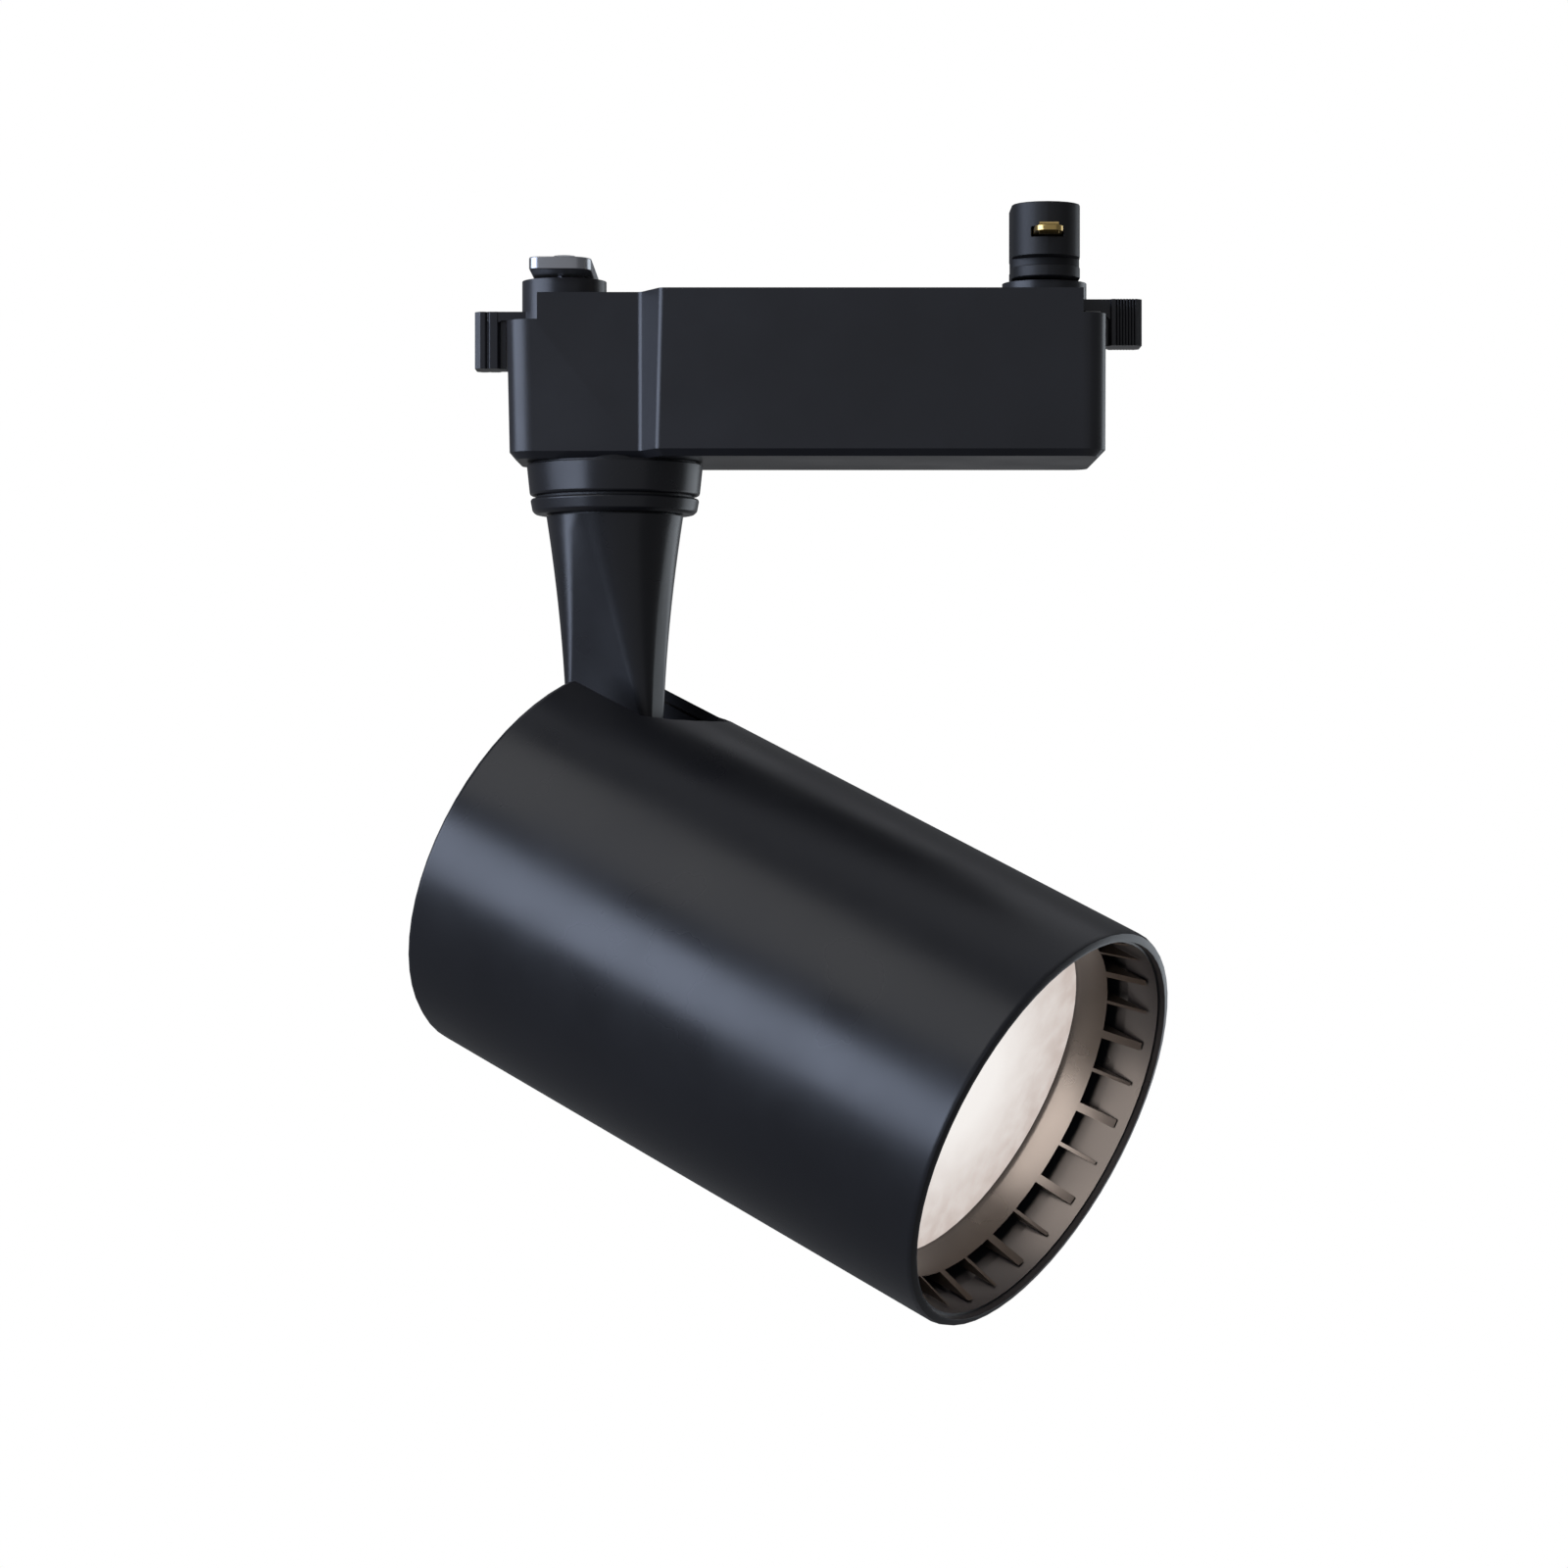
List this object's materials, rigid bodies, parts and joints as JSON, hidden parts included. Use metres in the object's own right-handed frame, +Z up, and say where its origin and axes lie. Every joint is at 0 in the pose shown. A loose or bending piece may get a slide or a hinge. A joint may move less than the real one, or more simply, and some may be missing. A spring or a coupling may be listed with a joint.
{
  "type": "track spotlight",
  "caption": "Track spotlight: a lever-locked track adapter with its driver, a turning stem, and a tube head that tilts about a pivot in its slotted rear, with ribs round an opal lens.",
  "frame": {"origin": "middle of the adapter's flat top, the face that lies against the underside of the track", "axes": "+Z up into the track, +X along the track towards the contact lever, -Y towards the side the lamp is aimed to"},
  "size_m": [0.1071, 0.0944, 0.1577],
  "materials": {
    "black_plastic": "satin",
    "black_paint": "satin",
    "ring_coating": "satin",
    "dark_nylon": "matte",
    "white_nylon": "matte",
    "steel": "satin",
    "black_steel": "satin",
    "contact_brass": "satin",
    "copper_winding": "satin",
    "bare_aluminium": "satin",
    "reflector_finish": "polished",
    "circuit_board": "satin",
    "white_board": "satin",
    "ferrite": "matte",
    "winding_tape": "satin",
    "capacitor_sleeve": "satin",
    "phosphor": "matte",
    "opal": "satin",
    "lead_sleeve": "satin"
  },
  "bodies": {
    "adapter": {"adapter_housing": "black_plastic", "adapter_cover": "black_plastic", "pan_collar": "black_paint", "cover_screw_1": "black_steel", "cover_screw_2": "black_steel", "cover_screw_3": "black_steel", "cover_screw_4": "black_steel", "driver_board": "circuit_board", "transformer_core": "ferrite", "transformer_winding": "winding_tape", "output_capacitor": "capacitor_sleeve", "input_capacitor": "capacitor_sleeve", "filter_choke": "copper_winding", "controller_chip": "dark_nylon", "output_terminal": "white_nylon", "input_terminal": "white_nylon", "output_leads": "lead_sleeve", "input_leads": "lead_sleeve"},
    "lock_lever": {"lock_lever": "black_plastic", "lock_wing": "steel", "lock_screw": "steel", "lock_snap_ring": "steel"},
    "contact_lever": {"contact_lever": "black_plastic", "contact_turret": "dark_nylon", "live_contact": "contact_brass", "neutral_contact": "contact_brass", "earth_contact": "contact_brass", "contact_snap_ring": "steel", "contact_leads": "lead_sleeve"},
    "stem": {"stem": "black_paint", "pan_ring": "black_paint", "pan_spindle": "steel", "pan_washer": "white_nylon", "pan_nut": "steel", "stem_leads": "lead_sleeve"},
    "head": {"head_tube": "black_paint", "rear_cover": "black_paint", "rear_cover_screw_1": "black_steel", "rear_cover_screw_2": "black_steel", "pivot_bracket": "black_paint", "tie_screw_1": "steel", "tie_screw_2": "steel", "pivot_axle": "steel", "friction_washer_1": "white_nylon", "friction_washer_2": "white_nylon", "pivot_nut_1": "steel", "pivot_nut_2": "steel", "heat_sink": "bare_aluminium", "set_screw_1": "black_steel", "set_screw_2": "black_steel", "emitter_board": "white_board", "emitter": "phosphor", "emitter_holder": "white_nylon", "holder_screw_1": "steel", "holder_screw_2": "steel", "reflector": "reflector_finish", "head_leads": "lead_sleeve", "lens_ring": "ring_coating", "lens": "opal"}
  },
  "joints": [
    {"name": "lock_turn", "type": "hinge", "parent": "adapter", "child": "lock_lever", "pos_m": [-0.0347, 0, 0], "axis": [0, 0, 1], "range_deg": [-90, 0]},
    {"name": "contact_turn", "type": "hinge", "parent": "adapter", "child": "contact_lever", "pos_m": [0.0347, 0, 0], "axis": [0, 0, 1], "range_deg": [0, 90]},
    {"name": "pan", "type": "hinge", "parent": "adapter", "child": "stem", "pos_m": [-0.0274, 0, -0.0286], "axis": [0, 0, 1], "range_deg": [-144.1, 205.9]},
    {"name": "tilt", "type": "hinge", "parent": "stem", "child": "head", "pos_m": [-0.0274, 0, -0.0707], "axis": [0.5135, 0.8581, 0], "range_deg": [-24.2, 65.8]}
  ]
}
